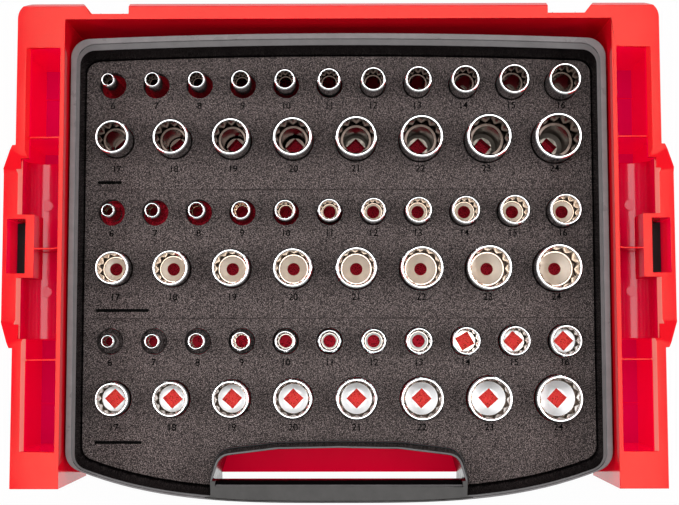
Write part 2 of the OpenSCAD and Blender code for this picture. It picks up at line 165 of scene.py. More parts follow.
class FoamLook(bpy.types.PropertyGroup):
    edge_round: FloatProperty(
        name="Cut edge", description="Width of the rounding along the cut edges of the foam",
        default=0.00022, min=0.0001, max=0.00028, unit="LENGTH")
    dark: FloatVectorProperty(
        name="Dark foam", description="Colour of the foam's top layer", subtype="COLOR",
        size=4, default=(0.027, 0.022, 0.0215, 1), min=0, max=1)
    speckle: FloatVectorProperty(
        name="Speckle", description="Colour of the open cells in the top layer",
        subtype="COLOR", size=4, default=(0.26, 0.208, 0.200, 1), min=0, max=1)
    red: FloatVectorProperty(
        name="Red foam", description="Colour of the foam's base layer", subtype="COLOR",
        size=4, default=(0.96, 0.03, 0.065, 1), min=0, max=1)
    # Painted light: a paler, glowing copy of the red foam for the floors under the shallow sockets
    red_lit: FloatVectorProperty(
        name="Lit foam", description="Light that the foam gives back in shallow pockets",
        subtype="COLOR", size=4, default=(1.0, 0.12, 0.075, 1), min=0, max=1)
    # Strength of that painted glow
    glow: FloatProperty(
        name="Glow", description="Strength of that light", default=0.18, min=0.0, max=1.0,
        subtype="FACTOR")
    ink: FloatVectorProperty(
        name="Ink", description="Colour of the size numbers", subtype="COLOR", size=4,
        default=(0.0015, 0.0015, 0.0015, 1), min=0, max=1)
    number_height: FloatProperty(
        name="Number height", description="Height of a size number's digits",
        default=0.0045, min=0.002, max=0.006, unit="LENGTH")
    small_offset: FloatProperty(
        name="Small number offset", description="From a small socket's middle to its number",
        default=0.0145, min=0.011, max=0.018, unit="LENGTH")
    large_offset: FloatProperty(
        name="Large number offset", description="From a large socket's middle to its number",
        default=0.0194, min=0.017, max=0.022, unit="LENGTH")


class SocketLook(bpy.types.PropertyGroup):
    drive: FloatProperty(
        name="Drive", description="Side of the square drive", default=0.0096, min=0.009,
        max=0.0104, unit="LENGTH")
    drive_depth: FloatProperty(
        name="Drive depth", description="Depth of the square drive", default=0.0115,
        min=0.010, max=0.013, unit="LENGTH")
    edge_round: FloatProperty(
        name="Edge rounding", description="Width of the rounding on polished edges",
        default=0.00014, min=0.00005, max=0.0003, unit="LENGTH")
    chrome: FloatVectorProperty(
        name="Chrome", description="Colour of the polished outside", subtype="COLOR",
        size=4, default=(0.93, 0.93, 0.94, 1), min=0, max=1)
    # Painted shade: a darker copy of the chrome for the sides, standing in for the dark foam they
    # mirror
    chrome_side: FloatVectorProperty(
        name="Chrome, sides", description="Colour of the polished sides below the rim",
        subtype="COLOR", size=4, default=(0.50, 0.51, 0.52, 1), min=0, max=1)
    nickel: FloatVectorProperty(
        name="Nickel", description="Colour of the plating inside a socket",
        subtype="COLOR", size=4, default=(0.82, 0.70, 0.59, 1), min=0, max=1)
    # Painted shade: a very dark copy of the nickel for inside the deep sockets, where little light
    # gets in
    nickel_deep: FloatVectorProperty(
        name="Nickel, deep", description="Tint of the dull plating inside the deep sockets",
        subtype="COLOR", size=4, default=(0.13, 0.10, 0.085, 1), min=0, max=1)
    # Painted light: a paler copy of the nickel for inside the shallow sockets, which light reaches
    nickel_shallow: FloatVectorProperty(
        name="Nickel, shallow", description="Tint of the plating inside the shallow sockets",
        subtype="COLOR", size=4, default=(0.93, 0.86, 0.79, 1), min=0, max=1)
    floor: FloatVectorProperty(
        name="Floor", description="Colour of the satin cone at the foot of the hole",
        subtype="COLOR", size=4, default=(0.90, 0.78, 0.67, 1), min=0, max=1)
    # Painted shade: a darker copy of the cone colour for the foot of the large deep sockets
    floor_deep: FloatVectorProperty(
        name="Floor, deep", description="Colour of that cone in the large deep sockets",
        subtype="COLOR", size=4, default=(0.52, 0.46, 0.40, 1), min=0, max=1)
    # Painted shade: a near-black colour in the groove round the seat, standing in for shadow and
    # dark reflection
    relief: FloatVectorProperty(
        name="Relief", description="Colour of the dark groove around the seat",
        subtype="COLOR", size=4, default=(0.020, 0.014, 0.012, 1), min=0, max=1)
    # Less painted shade in that groove for the shorter sockets
    relief_pale: FloatVectorProperty(
        name="Relief, pale", description="Colour of that groove in the shorter sockets",
        subtype="COLOR", size=4, default=(0.22, 0.17, 0.14, 1), min=0, max=1)
    steel: FloatVectorProperty(
        name="Pin steel", description="Colour of the latches' pins", subtype="COLOR",
        size=4, default=(0.60, 0.60, 0.61, 1), min=0, max=1)


class StageLook(bpy.types.PropertyGroup):
    softbox: FloatProperty(
        name="Softbox", description="Power of the overhead softbox", default=20.0,
        min=1.0, max=200.0, unit="POWER")
    strips: FloatProperty(
        name="Side strips", description="Power of each of the two side lights",
        default=15.5, min=0.0, max=200.0, unit="POWER")
    softbox_size: FloatProperty(
        name="Softbox size", description="Side of the overhead softbox", default=1.5,
        min=0.5, max=4.0, unit="LENGTH")
    sky: FloatProperty(
        name="Room light", description="Strength of the light from all around",
        default=0.25, min=0.0, max=1.0)
    floor_white: FloatProperty(
        name="Floor white", description="Share of the floor that stays white in shadow",
        default=0.97, min=0.0, max=1.0, subtype="FACTOR")


def case_look():
    return bpy.context.scene.socket_case


def foam_look():
    return bpy.context.scene.socket_foam


def socket_look():
    return bpy.context.scene.socket_set


def stage_look():
    return bpy.context.scene.socket_stage


# ---------------------------------------------------------------- materials


class Graph:
    """A material under construction, with the nodes that every finish here needs."""

    def __init__(self, name):
        self.material = bpy.data.materials.new(name)
        self.material.use_nodes = True
        self.tree = self.material.node_tree
        self.tree.nodes.clear()
        self.out = self.add("ShaderNodeOutputMaterial")
        self.shader = self.add("ShaderNodeBsdfPrincipled")
        self.link(self.shader, "BSDF", self.out, "Surface")
        self.place = self.add("ShaderNodeTexCoord")

    def add(self, kind, **settings):
        node = self.tree.nodes.new(kind)
        for key, value in settings.items():
            setattr(node, key, value)
        return node

    def link(self, a, output, b, socket):
        self.tree.links.new(a.outputs[output], b.inputs[socket])

    def set(self, **values):
        for key, value in values.items():
            self.shader.inputs[key.replace("_", " ")].default_value = value

    def noise(self, scale, detail=3.0, roughness=0.55, stretch=None):
        """Fractal noise over Object coordinates; scale is in features per metre."""
        node = self.add("ShaderNodeTexNoise")
        node.inputs["Scale"].default_value = scale
        node.inputs["Detail"].default_value = detail
        node.inputs["Roughness"].default_value = roughness
        if stretch:
            mapping = self.add("ShaderNodeMapping")
            mapping.inputs["Scale"].default_value = stretch
            self.link(self.place, "Object", mapping, "Vector")
            self.link(mapping, "Vector", node, "Vector")
        else:
            self.link(self.place, "Object", node, "Vector")
        return node

    def cells(self, scale):
        node = self.add("ShaderNodeTexVoronoi", feature="F1")
        node.inputs["Scale"].default_value = scale
        self.link(self.place, "Object", node, "Vector")
        return node

    def ramp(self, source, output, low, high, low_colour, high_colour):
        node = self.add("ShaderNodeValToRGB")
        ends = node.color_ramp.elements
        ends[0].position, ends[1].position = low, high
        ends[0].color, ends[1].color = low_colour, high_colour
        self.link(source, output, node, "Fac")
        return node

    def roughness(self, source, output, low, high):
        node = self.add("ShaderNodeMapRange")
        node.inputs["From Min"].default_value = 0.3
        node.inputs["From Max"].default_value = 0.7
        node.inputs["To Min"].default_value = low
        node.inputs["To Max"].default_value = high
        self.link(source, output, node, "Value")
        self.link(node, "Result", self.shader, "Roughness")

    def bump(self, source, output, distance, strength=1.0, below=None):
        node = self.add("ShaderNodeBump")
        node.inputs["Distance"].default_value = distance
        node.inputs["Strength"].default_value = strength
        self.link(source, output, node, "Height")
        if below:
            self.link(below, "Normal", node, "Normal")
        self.link(node, "Normal", self.shader, "Normal")
        return node


def shade(colour, factor):
    """A colour made darker or lighter, up to white."""
    return tuple(min(1.0, c * factor) for c in colour[:3]) + (1,)


def moulded(name, colour, rough, peel=0.000006, warp=0.00015, gloss=0.5, sheen=WHITE, glow=0):
    """Glossy injection-moulded plastic: slow sink marks under a fine orange peel."""
    g = Graph(name)
    tone = g.noise(14, 2.0)
    tint = g.ramp(tone, "Fac", 0.3, 0.7, shade(colour, 0.93), shade(colour, 1.04))
    g.link(tint, "Color", g.shader, "Base Color")
    scuff = g.noise(260, 4.0, 0.6, stretch=(1, 0.35, 1))
    g.roughness(scuff, "Fac", rough * 0.75, rough * 1.35)
    slow = g.bump(g.noise(22, 1.0), "Fac", warp)
    g.bump(g.noise(620, 2.0), "Fac", peel, below=slow)
    g.set(IOR=1.5, Specular_IOR_Level=gloss, Specular_Tint=sheen)
    # glow paints light into the plastic, as emission in its own colour
    g.set(Emission_Color=shade(colour, 1), Emission_Strength=glow)
    return g.material


def grained(name, colour, rough, grain=0.00004, grain_scale=1500, gloss=0.5):
    """Satin plastic with a fine spark-eroded grain and slightly paler rubbed patches."""
    g = Graph(name)
    tone = g.noise(90, 5.0, 0.65)
    tint = g.ramp(tone, "Fac", 0.35, 0.75, shade(colour, 0.88), shade(colour, 1.2))
    g.link(tint, "Color", g.shader, "Base Color")
    g.roughness(g.noise(45, 4.0), "Fac", rough * 0.85, rough * 1.15)
    slow = g.bump(g.noise(30, 1.0), "Fac", 0.0001)
    g.bump(g.noise(grain_scale, 3.0, 0.7), "Fac", grain, below=slow)
    g.set(Specular_IOR_Level=gloss)
    return g.material


def cellular(name, colour, speckle, low=0.47, high=0.62, glow=0):
    """Closed-cell foam, cut across: pale broken cells on a dull ground."""
    g = Graph(name)
    grain = g.noise(1900, 1.0, 0.8)
    flecks = g.ramp(grain, "Fac", low, high, colour, speckle)
    pits = g.noise(1500, 1.0, 0.6)
    shadow = g.ramp(pits, "Fac", 0.38, 0.56, (0.4, 0.4, 0.4, 1), (1.4, 1.4, 1.4, 1))
    mix = g.add("ShaderNodeMix", data_type="RGBA", blend_type="MULTIPLY")
    mix.inputs["Factor"].default_value = 1.0
    g.link(flecks, "Color", mix, "A")
    g.link(shadow, "Color", mix, "B")
    g.link(mix, "Result", g.shader, "Base Color")
    g.bump(grain, "Fac", 0.0003, 0.8, below=g.bump(g.cells(700), "Distance", 0.0002))
    g.set(Roughness=0.95, Specular_IOR_Level=0.08)
    # glow paints light into the foam, as emission in the speckle colour
    g.set(Emission_Color=speckle, Emission_Strength=glow)
    return g.material


def polished(name, colour, rough, scratches=0.000004):
    """Plated metal with faint handling marks."""
    g = Graph(name)
    tone = g.noise(160, 3.0)
    tint = g.ramp(tone, "Fac", 0.3, 0.7, shade(colour, 0.94), shade(colour, 1.03))
    g.link(tint, "Color", g.shader, "Base Color")
    g.roughness(g.noise(420, 4.0, 0.6), "Fac", rough * 0.7, rough * 1.4)
    g.bump(g.noise(1800, 2.0, 0.6, stretch=(1, 1, 0.12)), "Fac", scratches)
    g.set(Metallic=1.0)
    return g.material


def printed(name, colour):
    """Flat ink on foam, slightly broken by the cells under it."""
    g = Graph(name)
    grain = g.noise(1400, 2.0, 0.7)
    tint = g.ramp(grain, "Fac", 0.6, 0.8, colour, (0.02, 0.018, 0.018, 1))
    g.link(tint, "Color", g.shader, "Base Color")
    g.bump(grain, "Fac", 0.0001, 0.5)
    g.set(Roughness=0.8, Specular_IOR_Level=0.05)
    return g.material


# ---------------------------------------------------------------- modelling by hand


def deselect_all():
    if bpy.context.mode != "OBJECT":
        bpy.ops.object.mode_set(mode="OBJECT")
    bpy.ops.object.select_all(action="DESELECT")


def activate(obj):
    deselect_all()
    obj.select_set(True)
    bpy.context.view_layer.objects.active = obj


def edit(obj):
    activate(obj)
    bpy.ops.object.mode_set(mode="EDIT")
    bpy.ops.mesh.select_mode(type="VERT")


def leave_edit():
    bpy.ops.object.mode_set(mode="OBJECT")


def settle(obj):
    """Puts a piece's place into its mesh, with its object at the origin."""
    activate(obj)
    bpy.ops.object.transform_apply(location=True, rotation=True, scale=True)


def rounded(obj, width):
    """Rounds the sharp edges, and shades the rest smooth with its flats kept flat."""
    activate(obj)
    bpy.ops.object.shade_smooth_by_angle(angle=math.radians(35))
    bevel = obj.modifiers.new("edges", "BEVEL")
    bevel.width = width
    bevel.segments = 2
    bevel.limit_method = "ANGLE"
    bevel.angle_limit = math.radians(30)
    bevel.use_clamp_overlap = False
    bevel.miter_outer = "MITER_ARC"
    bevel.face_strength_mode = "FSTR_ALL"
    bpy.ops.object.modifier_apply(modifier=bevel.name)
    flat = obj.modifiers.new("flat_faces", "WEIGHTED_NORMAL")
    flat.keep_sharp = True
    flat.use_face_influence = True
    bpy.ops.object.modifier_apply(modifier=flat.name)


def merged_copy(node, name):
    """A copy of a CAD node with its loose triangles joined."""
    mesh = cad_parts[node].data.copy()
    mesh.name = name
    obj = bpy.data.objects.new(name, mesh)
    bpy.context.scene.collection.objects.link(obj)
    mesh.materials.clear()
    edit(obj)
    bpy.ops.mesh.select_all(action="SELECT")
    bpy.ops.mesh.customdata_custom_splitnormals_clear()
    bpy.ops.mesh.remove_doubles(threshold=0.00002)
    leave_edit()
    return obj


def paint(obj, *materials):
    for material in materials:
        obj.data.materials.append(material)


def assign_where(obj, slot, test):
    """Gives the faces whose middle and normal pass the test to a material slot."""
    for face in obj.data.polygons:
        if test(face.center, face.normal):
            face.material_index = slot


def select_faces(obj, test):
    """Opens the piece in edit mode with only the faces that pass the test selected."""
    edit(obj)
    bpy.ops.mesh.select_mode(type="FACE")
    bpy.ops.mesh.select_all(action="DESELECT")
    mesh = bmesh.from_edit_mesh(obj.data)
    for face in mesh.faces:
        face.select = test(face.calc_center_median(), face.normal)
    mesh.select_flush_mode()
    bmesh.update_edit_mesh(obj.data)


def select_only(obj, picked):
    """Selects only the vertices of these indices, in edit mode."""
    mesh = bmesh.from_edit_mesh(obj.data)
    mesh.verts.ensure_lookup_table()
    for vert in mesh.verts:
        vert.select = False
    for index in picked:
        mesh.verts[index].select = True
    mesh.select_flush(True)
    mesh.select_flush(False)
    bmesh.update_edit_mesh(obj.data, loop_triangles=False, destructive=False)


def give(piece, body, nodes):
    """Fixes a piece to its body, in place of the CAD nodes that it finishes."""
    settle(piece)
    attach(piece, body)
    if nodes:
        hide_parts(*nodes)


def place_copy(model, name, place, body):
    """A copy of a modelled piece, with its own mesh, put where it belongs."""
    piece = bpy.data.objects.new(name, model.data.copy())
    bpy.context.scene.collection.objects.link(piece)
    piece.location = place
    give(piece, body, [])


# ---------------------------------------------------------------- carrier


class SOCKETCASE_OT_carrier(bpy.types.Operator):
    """Finish the red carrier: rounded edges, lip chamfers brightened by a painted highlight,
    glossy troughs, and painted glow and shade inside
    """

    bl_idname = "socketcase.carrier"
    bl_label = "Carrier"

    def execute(self, context):
        look = case_look()
        carrier = merged_copy("carrier", "carrier_shell")
        rounded(carrier, look.edge_round)
        paint(
            carrier,
            moulded("red_moulding", look.red, 0.10, gloss=0.35, sheen=look.sheen),
            # the lip chamfers: a paler red as a painted highlight
            moulded("red_painted_highlight", look.red_bright, 0.10, sheen=look.sheen),
            # the bay floor: a lit copy of the red with painted glow
            moulded("red_floor", look.red_bay, 0.30, gloss=0.02, glow=look.glow),
            # the inner walls and latch slots: a lit copy of the red with painted glow
            moulded("red_inside", look.red_inside, 0.10, gloss=0.12, glow=look.glow),
            # the troughs: a darker copy of the inner red as painted shade, under its gloss
            moulded("red_gloss", shade(look.red_inside, 0.80), 0.14, warp=0.00008, gloss=0.6),
            # the pocket floors: a lit copy of the red with painted glow
            moulded("red_pocket", look.red_pocket, 0.30, gloss=0.02, glow=look.glow),
        )

        edge, floor, inner, gloss, pocket = range(1, 6)

        # the sloped lip chamfers, which get the painted highlight
        def lip_chamfer(middle, normal):
            slanted = 0.55 < normal.z < 0.85 and abs(normal.x) > 0.5
            at_lip = CHAMFER_INNER < abs(middle.x) < CHAMFER_OUTER and middle.y < CHAMFER_BACK
            return slanted and at_lip and middle.z > CASE_TOP.z - 9 * MM

        def bay_floor(middle, normal):
            return normal.z > 0.9 and middle.z < 8 * MM and abs(middle.x) < BAY_HALF

        def inside(middle, normal):
            """Walls and floors that lie behind the outer faces and below the lip."""
            x_out = abs(middle.x) > OUTER_WALL and normal.x * middle.x > 0
            back = middle.y > BACK_WALL and normal.y > 0.2
            front = middle.y < FRONT_ENDS and normal.y < -0.2
            below = middle.z < CASE_TOP.z - (8 * MM if normal.z > 0.5 else 3 * MM)
            return abs(middle.x) > POCKET_INNER and below and not (x_out or back or front)

        def pocket_floor(middle, normal):
            return inside(middle, normal) and normal.z > 0.9

        def trough(middle, normal):
            """The side troughs, which mirror the softbox."""
            along = abs(middle.y - SIDE_MIDDLE) < TROUGH_HALF
            return along and middle.z > TROUGH_FLOOR - MM and inside(middle, normal)

        def latch_slot(middle, normal):
            """The walls and the floor of the slots that the latches lie in."""
            along = abs(middle.y - SIDE_MIDDLE) < SLOT_HALF and middle.z < BULGE_TOP
            walls = abs(normal.z) < 0.5 or middle.z < TROUGH_FLOOR
            return along and walls and SLOT_INNER < abs(middle.x) < SLOT_OUTER

        for slot, test in (
            (inner, inside), (pocket, pocket_floor), (gloss, trough),
            (inner, latch_slot), (edge, lip_chamfer), (floor, bay_floor),
        ):
            assign_where(carrier, slot, test)
        give(carrier, "carrier", ["carrier"])
        return {"FINISHED"}


class SOCKETCASE_OT_ejector_marks(bpy.types.Operator):
    """Add the round ejector pads on the floors of the four side troughs"""

    bl_idname = "socketcase.ejector_marks"
    bl_label = "Ejector marks"

    def execute(self, context):
        deselect_all()
        bpy.ops.mesh.primitive_cylinder_add(
            vertices=40, radius=3.9 * MM, depth=1.2 * MM, location=(0, 0, 0))
        model = context.object
        select_faces(model, lambda middle, normal: normal.z > 0.9)
        bpy.ops.mesh.inset(thickness=0.6 * MM)
        bpy.ops.transform.translate(value=(0, 0, -0.12 * MM))
        leave_edit()
        rounded(model, 0.1 * MM)
        paint(model, bpy.data.materials["red_gloss"])
        for side, name in ((-1, "left"), (1, "right")):
            for row, y in PAD_ROWS:
                place = (side * PAD_OUT, y, TROUGH_FLOOR)
                place_copy(
                    model, "ejector_pad_%s_%s" % (name, row), place, "carrier")
        bpy.data.objects.remove(model)
        return {"FINISHED"}


# ---------------------------------------------------------------- latches


class SOCKETCASE_OT_latches(bpy.types.Operator):
    """Finish the two black latches and their steel pins"""

    bl_idname = "socketcase.latches"
    bl_label = "Latches"

    def execute(self, context):
        look = case_look()
        black = moulded("black_moulding", look.black, 0.35, peel=0.000015, gloss=0.15)
        for node in ("latch_left", "latch_right"):
            latch = merged_copy(node, node + "_blade")
            rounded(latch, 0.3 * MM)
            paint(latch, black)
            give(latch, node, [node])
        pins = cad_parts["latch_pins"]
        pins.data.materials.clear()
        paint(pins, polished("pin_steel", socket_look().steel, 0.25))
        return {"FINISHED"}


# ---------------------------------------------------------------- tray


class SOCKETCASE_OT_tray(bpy.types.Operator):
    """Finish the grey tray: grained outside, smooth inner walls darkened with painted shade, and a
    painted highlight on the raised lip
    """

    bl_idname = "socketcase.tray"
    bl_label = "Tray"

    def execute(self, context):
        look = case_look()
        tray = merged_copy("tray", "tray_shell")
        # cuts across the handle, so that rounding can't fold its long triangles over
        edit(tray)
        for step in range(-8, 9):
            bpy.ops.mesh.select_all(action="SELECT")
            bpy.ops.mesh.bisect(plane_co=(step * 10 * MM, 0, 0), plane_no=(1, 0, 0))
        leave_edit()
        rounded(tray, look.edge_round)
        paint(
            tray,
            grained("grey_grain", look.grey, 0.36),
            # the inner walls: a near-black copy of the grey as painted shade
            moulded("grey_inside", look.grey_inside, 0.16, gloss=0.07),
            grained("grip_grain", look.grip, 0.50, grain=0.0001, grain_scale=1100, gloss=0.3),
            # the raised lip: a paler copy of the grey as a painted highlight
            grained("lip_highlight_grain", shade(look.grey, 1.6), 0.30),
        )

        def in_grip(middle, reach=0.0):
            along = abs(middle.x) < GRIP_HALF + reach
            return along and middle.y < TRAY_LOW.y + GRIP_DEPTH + reach

        def within_rim(middle):
            share = abs(middle.x) / TRAY_HIGH.x
            front = TRAY_LOW.y + FRONT_BOW * share ** 3.2 + 1.3 * MM
            back = TRAY_HIGH.y - BACK_BOW * share ** 2 - 6.5 * MM
            return abs(middle.x) < TRAY_HIGH.x - 5.5 * MM and front < middle.y < back

        def inner_wall(middle, normal):
            """Faces inside the rim or round the finger opening that don't look up."""
            if normal.z > 0.8:
                return False
            if in_grip(middle) and middle.z > FOAM_TOP.z:
                return normal.y > 0.15
            seen = middle.z > FOAM_TOP.z - 12 * MM or abs(normal.z) < 0.5
            return within_rim(middle) and seen

        def grip_top(middle, normal):
            high = normal.z > 0.8 and middle.z > TRAY_HIGH.z - MM
            return high and in_grip(middle, 0.2 * MM)

        def raised_lip(middle, normal):
            high = normal.z > 0.8 and middle.z > TRAY_HIGH.z - 0.3 * MM
            return high and not in_grip(middle)

        # the inner walls and the walls round the finger opening take the painted shade
        assign_where(tray, 1, inner_wall)
        assign_where(tray, 2, grip_top)
        # the top of the raised lip takes the painted highlight
        assign_where(tray, 3, raised_lip)
        give(tray, "tray", ["tray"])
        return {"FINISHED"}


# ---------------------------------------------------------------- foam


class SOCKETCASE_OT_foam(bpy.types.Operator):
    """Finish both layers of the foam insert, with softened cut edges"""

    bl_idname = "socketcase.foam"
    bl_label = "Foam"

    def execute(self, context):
        look = foam_look()
        top = merged_copy("foam_top", "foam_dark_layer")
        rounded(top, look.edge_round)
        paint(top, cellular("dark_foam", look.dark, look.speckle))
        give(top, "tray", ["foam_top"])
        base = merged_copy("foam_base", "foam_red_layer")
        rounded(base, look.edge_round)
        paint(
            base,
            cellular("red_foam", look.red, shade(look.red, 1.3)),
            cellular("red_foam_lit", look.red, look.red_lit, glow=look.glow),
        )
        open_sizes = [size for size in SMALL_SIZES + LARGE_SIZES if size >= LEAST_OPEN]
        seen = [(nut_radius(size), *socket_place(SHALLOW, size)) for size in open_sizes]

        def pocket_floor(middle, normal, margin=0.0):
            """The floor under a shallow socket, up to a margin inside its outer wall."""
            return normal.z > 0.9 and middle.z < FOAM_LOW.z and any(
                math.hypot(middle.x - x, middle.y - y) < radius - margin
                for radius, x, y in seen)

        # only the middle of each floor, which shows through the drive, is lit, by painted glow
        select_faces(base, pocket_floor)
        bpy.ops.mesh.inset(thickness=3 * MM)
        leave_edit()
        assign_where(base, 1, lambda middle, normal: pocket_floor(middle, normal, 2 * MM))
        give(base, "tray", ["foam_base"])
        return {"FINISHED"}


def flat_number(size, height, ink):
    """A size number as a thin mesh, centred on the origin."""
    deselect_all()
    bpy.ops.object.text_add(location=(0, 0, 0))
    text = bpy.context.object.data
    text.body = str(size)
    text.align_x = text.align_y = "CENTER"
    text.size = height / DIGIT_SHARE
    text.extrude = 0.02 * MM
    text.offset = 0.08 * MM
    bpy.ops.object.convert(target="MESH")
    paint(bpy.context.object, ink)
    return bpy.context.object


def series_bar(name, y, length, level, ink):
    """A bar with round ends, at the left of the foam."""
    deselect_all()
    bpy.ops.mesh.primitive_plane_add(size=1, location=(BAR_LEFT + length / 2, y, level))
    bar = bpy.context.object
    bar.name = "series_bar_" + name
    bar.scale = (length, 2.1 * MM, 1)
    settle(bar)
    edit(bar)
    bpy.ops.mesh.select_all(action="SELECT")
    bpy.ops.mesh.bevel(offset=0.95 * MM, segments=6, affect="VERTICES")
    leave_edit()
    paint(bar, ink)
    give(bar, "tray", [])


class SOCKETCASE_OT_foam_marks(bpy.types.Operator):
    """Print the size number in front of each socket, and a plain bar for each series"""

    bl_idname = "socketcase.foam_marks"
    bl_label = "Foam marks"

    def execute(self, context):
        look = foam_look()
        ink = printed("foam_ink", look.ink)
        level = FOAM_TOP.z + 0.04 * MM
        for size in SMALL_SIZES + LARGE_SIZES:
            model = flat_number(size, look.number_height, ink)
            below = look.small_offset if size in SMALL_SIZES else look.large_offset
            for index, series in enumerate(SERIES):
                x, y = socket_place(index, size)
                place_copy(
                    model, "number_%s_%02d" % (series[0], size), (x, y - below, level),
                    "tray")
            bpy.data.objects.remove(model)
        for name, y, length in SERIES_BARS:
            series_bar(name, y, length, level, ink)
        return {"FINISHED"}


# ---------------------------------------------------------------- sockets


def nut_radius(size):
    """Outer radius at the nut end, from a size in millimetres."""
    return (2.4 + 1.22 * size) / 2 * MM


def drive_radius(size):
    return max(LEAST_DRIVE, 0.95 * nut_radius(size))


def node_of(series, size):
    """The CAD node of a socket. Each of the two smallest pairs shares one."""
    pair = {6: "06_07", 7: "06_07", 8: "08_09", 9: "08_09"}
    return "socket_%s_%s" % (SERIES[series][0], pair.get(size, "%02d" % size))


def socket_place(series, size):
    """Middle of a socket in plan. Two share a node at each of the smallest sizes."""
    low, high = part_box(node_of(series, size))
    y = (low.y + high.y) / 2
    if size in (6, 8):
        return low.x + LEAST_DRIVE, y
    if size in (7, 9):
        return high.x - LEAST_DRIVE, y
    return (low.x + high.x) / 2, y


def socket_turn(series, size):
    """Each socket stands a few degrees off square, and one stands well off."""
    if series == SHALLOW and size == LEAST_OPEN:
        return math.radians(30)
    return math.radians(45 + (size * 7 + SERIES[series][2]) % 9 - 4)


def point_radius(flats, angle):
    """Radius of a 12-point hole at an angle from one of its points, in degrees."""
    from_point = abs((angle + 15) % 30 - 15)
    return flats / 2 / math.cos(math.radians(30 - from_point))


def square_radius(side, angle):
    """Radius of a square hole at an angle from the middle of a side, in degrees."""
    from_side = abs((angle + 45) % 90 - 45)
    return side / 2 / math.cos(math.radians(from_side))


class Turning:
    """A shape made of rings, each extruded from the one before and then shaped."""

    def __init__(self, name, x, y, turn, z, radius):
        deselect_all()
        bpy.ops.mesh.primitive_circle_add(
            vertices=RING_SIDES, radius=radius, location=(x, y, z), rotation=(0, 0, turn))
        self.obj = bpy.context.object
        self.obj.name = self.obj.data.name = name
        settle(self.obj)
        self.centre = (x, y)
        self.turn = turn
        self.now = [(radius, z)] * RING_SIDES
        edit(self.obj)
        bpy.ops.mesh.select_all(action="SELECT")

    def ring(self, radius_at, z_at):
        """Extrudes the open ring, then moves its corners, like angles together."""
        bpy.ops.mesh.extrude_edges_indiv()
        mesh = bmesh.from_edit_mesh(self.obj.data)
        step = 360 / RING_SIDES
        groups, everyone = {}, []
        after = [None] * RING_SIDES
        for vert in mesh.verts:
            if not vert.select:
                continue
            angle = math.atan2(vert.co.y - self.centre[1], vert.co.x - self.centre[0])
            index = round(math.degrees(angle - self.turn) / step) % RING_SIDES
            radius = radius_at(index * step) if callable(radius_at) else radius_at
            z = z_at(index * step) if callable(z_at) else z_at
            after[index] = (radius, z)
            key = tuple(round(v, 7) for v in (*self.now[index], radius, z))
            groups.setdefault(key, []).append(vert.index)
            everyone.append(vert.index)
        for (radius, z, new_radius, new_z), members in groups.items():
            if len(groups) > 1:
                select_only(self.obj, members)
            factor = new_radius / radius
            if abs(factor - 1) > 1e-5:
                bpy.ops.transform.resize(
                    value=(factor, factor, 1), center_override=(*self.centre, z))
            if abs(new_z - z) > 1e-7:
                bpy.ops.transform.translate(value=(0, 0, new_z - z))
        if len(groups) > 1:
            select_only(self.obj, everyone)
        self.now = after

    def close(self):
        """Joins the last ring to the first, and faces everything outwards."""
        bpy.ops.mesh.select_all(action="SELECT")
        bpy.ops.mesh.remove_doubles(threshold=0.00002)
        bpy.ops.mesh.normals_make_consistent(inside=False)
        leave_edit()
        return self.obj


